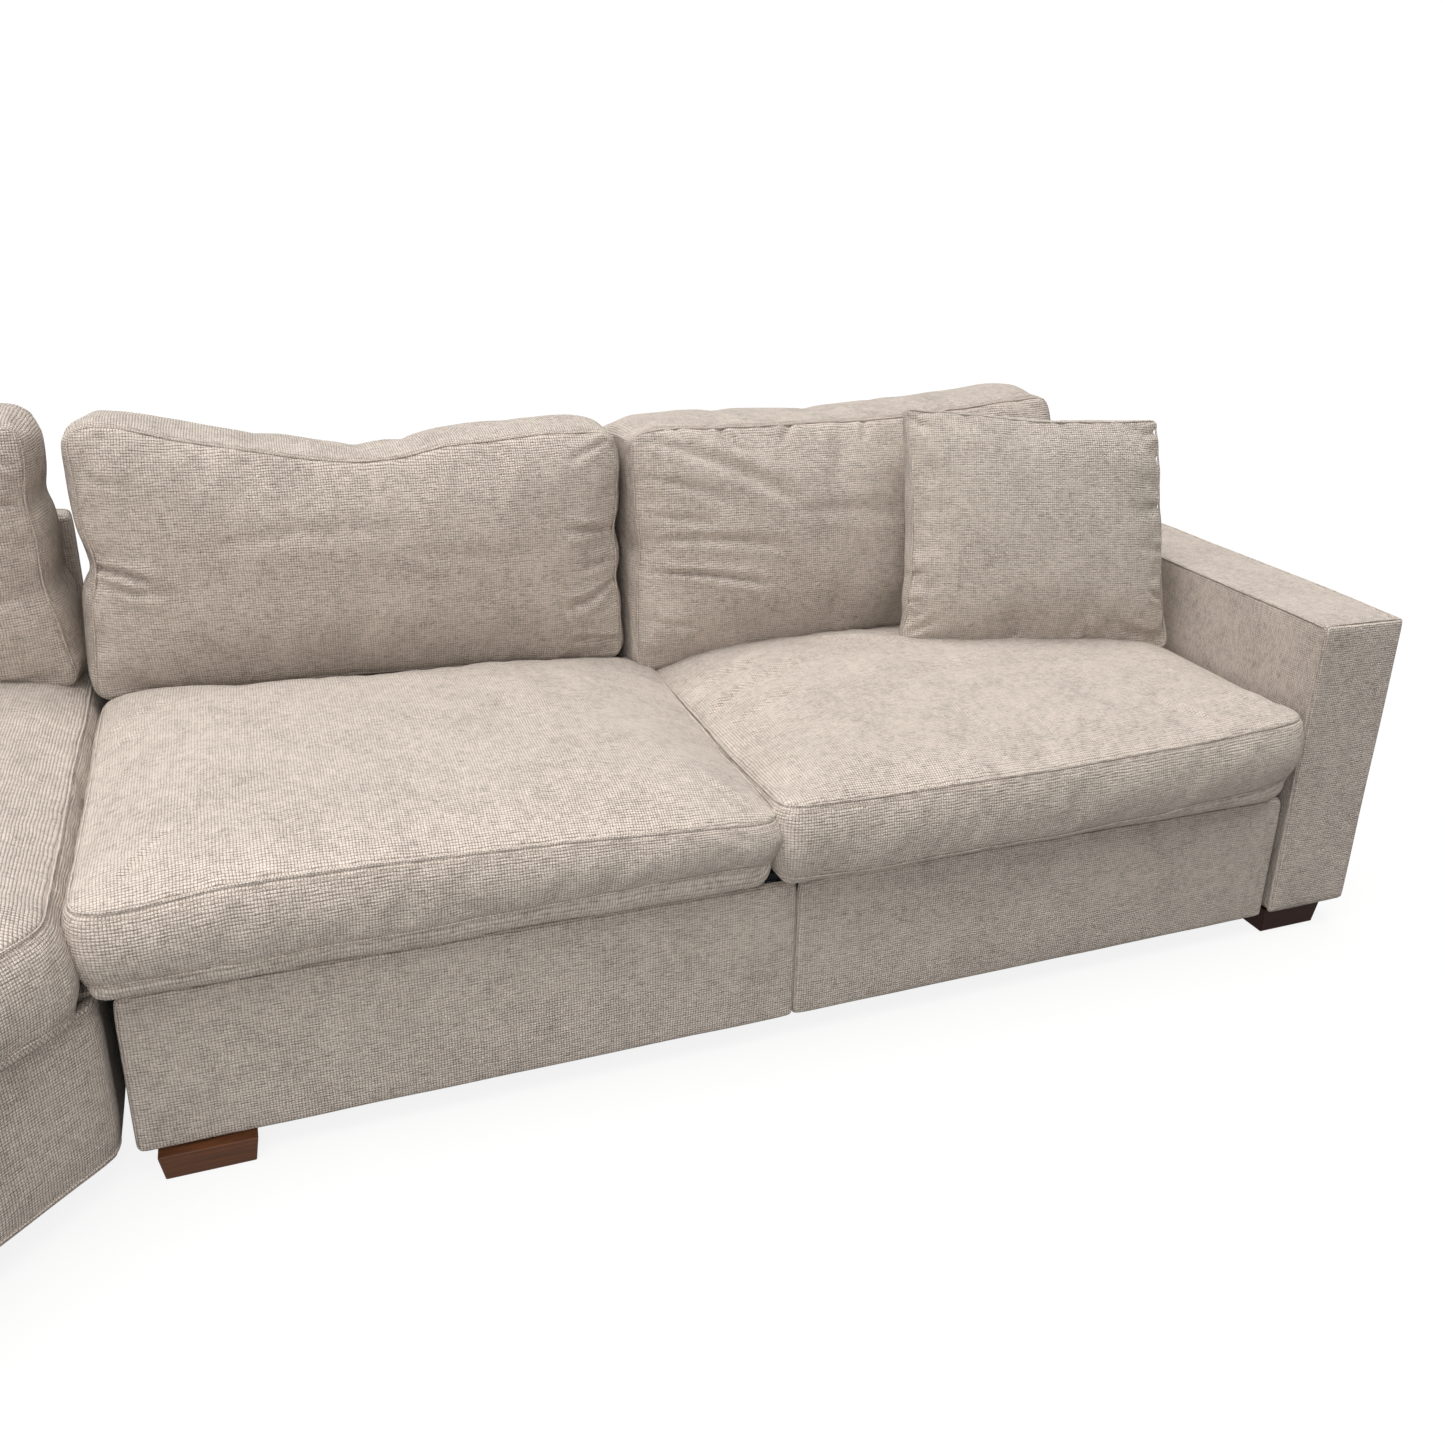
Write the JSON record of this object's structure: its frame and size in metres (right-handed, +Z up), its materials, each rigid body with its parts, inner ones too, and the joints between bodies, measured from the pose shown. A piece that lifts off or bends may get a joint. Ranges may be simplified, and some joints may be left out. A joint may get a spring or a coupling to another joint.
{
  "type": "reclining sectional sofa",
  "caption": "Upholstered sectional with two powered reclining seats, a right arm, a corner wedge and loose back cushions.",
  "frame": {"origin": "on the floor under the middle of the outline", "axes": "+Z up, -Y is the front of the seats, +X is the end with the arm"},
  "size_m": [3.7532, 1.555, 0.9455],
  "materials": {
    "fabric": "woven, matt",
    "pillow_fabric": "woven, matt",
    "steel": "black enamel",
    "plastic": "moulded",
    "board": "bare plywood",
    "dark_wood": "dark stain",
    "walnut": "brown stain"
  },
  "bodies": {
    "frame": {"right_arm": "fabric", "left_wall": "fabric", "center_rail": "board", "front_stretcher": "board", "rear_rail": "fabric", "front_right_foot": "dark_wood", "front_left_foot": "walnut", "rear_right_foot": "dark_wood", "rear_left_foot": "walnut", "center_leg": "dark_wood", "switch_plate": "plastic", "throw_pillow": "pillow_fabric", "power_supply": "plastic", "connector_hook": "steel", "connector_keeper": "steel", "wedge_front_rail": "fabric", "wedge_right_rail": "fabric", "wedge_rear_rail": "fabric", "wedge_left_rail": "fabric", "wedge_end_rail": "fabric", "wedge_deck": "board", "wedge_rear_back": "fabric", "wedge_side_back": "fabric", "wedge_seat_cushion": "fabric", "wedge_rear_cushion": "fabric", "wedge_side_cushion": "fabric", "wedge_front_right_foot": "dark_wood", "wedge_front_left_foot": "dark_wood", "wedge_rear_right_foot": "dark_wood", "wedge_rear_left_foot": "dark_wood", "right_mechanism_base": "steel", "right_actuator_body": "plastic", "right_seat_deck": "board", "right_seat_cushion": "fabric", "left_mechanism_base": "steel", "left_actuator_body": "plastic", "left_seat_deck": "board", "left_seat_cushion": "fabric"},
    "right_lift": {"right_lift_links": "steel"},
    "right_guide": {"right_guide_links": "steel"},
    "right_extension": {"right_extension_links": "steel"},
    "right_control": {"right_control_links": "steel"},
    "right_footrest": {"right_footrest_bracket": "steel", "right_footrest_panel": "fabric"},
    "right_actuator_rod": {"right_actuator_rod": "steel"},
    "right_back": {"right_back_frame": "fabric", "right_back_bracket": "steel", "right_back_cushion": "fabric"},
    "left_lift": {"left_lift_links": "steel"},
    "left_guide": {"left_guide_links": "steel"},
    "left_extension": {"left_extension_links": "steel"},
    "left_control": {"left_control_links": "steel"},
    "left_footrest": {"left_footrest_bracket": "steel", "left_footrest_panel": "fabric"},
    "left_actuator_rod": {"left_actuator_rod": "steel"},
    "left_back": {"left_back_frame": "fabric", "left_back_bracket": "steel", "left_back_cushion": "fabric"},
    "right_rocker": {"right_seat_rocker": "plastic"},
    "left_rocker": {"left_seat_rocker": "plastic"}
  },
  "joints": [
    {"name": "right_footrest_lift", "type": "hinge", "parent": "frame", "child": "right_lift", "pos_m": [1.18835, -0.1325, 0.27], "axis": [-1, 0, 0], "range_deg": [0, 75]},
    {"name": "right_guide_pivot", "type": "hinge", "parent": "frame", "child": "right_guide", "pos_m": [1.18835, -0.1705, 0.286], "axis": [-1, 0, 0], "range_deg": [0, 76.3]},
    {"name": "right_extension_pivot", "type": "hinge", "parent": "right_lift", "child": "right_extension", "pos_m": [1.18835, -0.1325, 0.09], "axis": [-1, 0, 0], "range_deg": [-98.7, 0]},
    {"name": "right_control_pivot", "type": "hinge", "parent": "right_lift", "child": "right_control", "pos_m": [1.18835, -0.0825, 0.07], "axis": [-1, 0, 0], "range_deg": [-94.6, 0]},
    {"name": "right_footrest_pivot", "type": "hinge", "parent": "right_extension", "child": "right_footrest", "pos_m": [1.18835, -0.1724, 0.2501], "axis": [-1, 0, 0], "range_deg": [0, 113.7]},
    {"name": "right_actuator_slide", "type": "slide", "parent": "frame", "child": "right_actuator_rod", "axis": [0, -1, 0], "range_m": [0, 0.0975]},
    {"name": "right_back_recline", "type": "hinge", "parent": "frame", "child": "right_back", "pos_m": [1.18835, 0.6525, 0.32], "axis": [-1, 0, 0], "range_deg": [0, 30]},
    {"name": "left_footrest_lift", "type": "hinge", "parent": "frame", "child": "left_lift", "pos_m": [0.18835, -0.1325, 0.27], "axis": [-1, 0, 0], "range_deg": [0, 75]},
    {"name": "left_guide_pivot", "type": "hinge", "parent": "frame", "child": "left_guide", "pos_m": [0.18835, -0.1705, 0.286], "axis": [-1, 0, 0], "range_deg": [0, 76.3]},
    {"name": "left_extension_pivot", "type": "hinge", "parent": "left_lift", "child": "left_extension", "pos_m": [0.18835, -0.1325, 0.09], "axis": [-1, 0, 0], "range_deg": [-98.7, 0]},
    {"name": "left_control_pivot", "type": "hinge", "parent": "left_lift", "child": "left_control", "pos_m": [0.18835, -0.0825, 0.07], "axis": [-1, 0, 0], "range_deg": [-94.6, 0]},
    {"name": "left_footrest_pivot", "type": "hinge", "parent": "left_extension", "child": "left_footrest", "pos_m": [0.18835, -0.1724, 0.2501], "axis": [-1, 0, 0], "range_deg": [0, 113.7]},
    {"name": "left_actuator_slide", "type": "slide", "parent": "frame", "child": "left_actuator_rod", "axis": [0, -1, 0], "range_m": [0, 0.0975]},
    {"name": "left_back_recline", "type": "hinge", "parent": "frame", "child": "left_back", "pos_m": [0.18835, 0.6525, 0.32], "axis": [-1, 0, 0], "range_deg": [0, 30]},
    {"name": "right_rocker_tilt", "type": "hinge", "parent": "frame", "child": "right_rocker", "pos_m": [1.86385, 0.0311, 0.468], "axis": [0, 1, 0], "range_deg": [-7, 7], "stiffness_Nm_per_rad": 0.4},
    {"name": "left_rocker_tilt", "type": "hinge", "parent": "frame", "child": "left_rocker", "pos_m": [1.86385, 0.0839, 0.468], "axis": [0, 1, 0], "range_deg": [-7, 7], "stiffness_Nm_per_rad": 0.4}
  ],
  "couplings": [
    {"joint": "right_guide_pivot", "follows": "right_footrest_lift", "ratio": 1.016},
    {"joint": "right_extension_pivot", "follows": "right_footrest_lift", "ratio": -1.3147},
    {"joint": "right_control_pivot", "follows": "right_footrest_lift", "ratio": -1.26},
    {"joint": "right_footrest_pivot", "follows": "right_footrest_lift", "ratio": 1.5147},
    {"joint": "right_actuator_slide", "follows": "right_footrest_lift", "m_per_rad": 0.074408},
    {"joint": "left_guide_pivot", "follows": "left_footrest_lift", "ratio": 1.016},
    {"joint": "left_extension_pivot", "follows": "left_footrest_lift", "ratio": -1.3147},
    {"joint": "left_control_pivot", "follows": "left_footrest_lift", "ratio": -1.26},
    {"joint": "left_footrest_pivot", "follows": "left_footrest_lift", "ratio": 1.5147},
    {"joint": "left_actuator_slide", "follows": "left_footrest_lift", "m_per_rad": 0.074408}
  ]
}
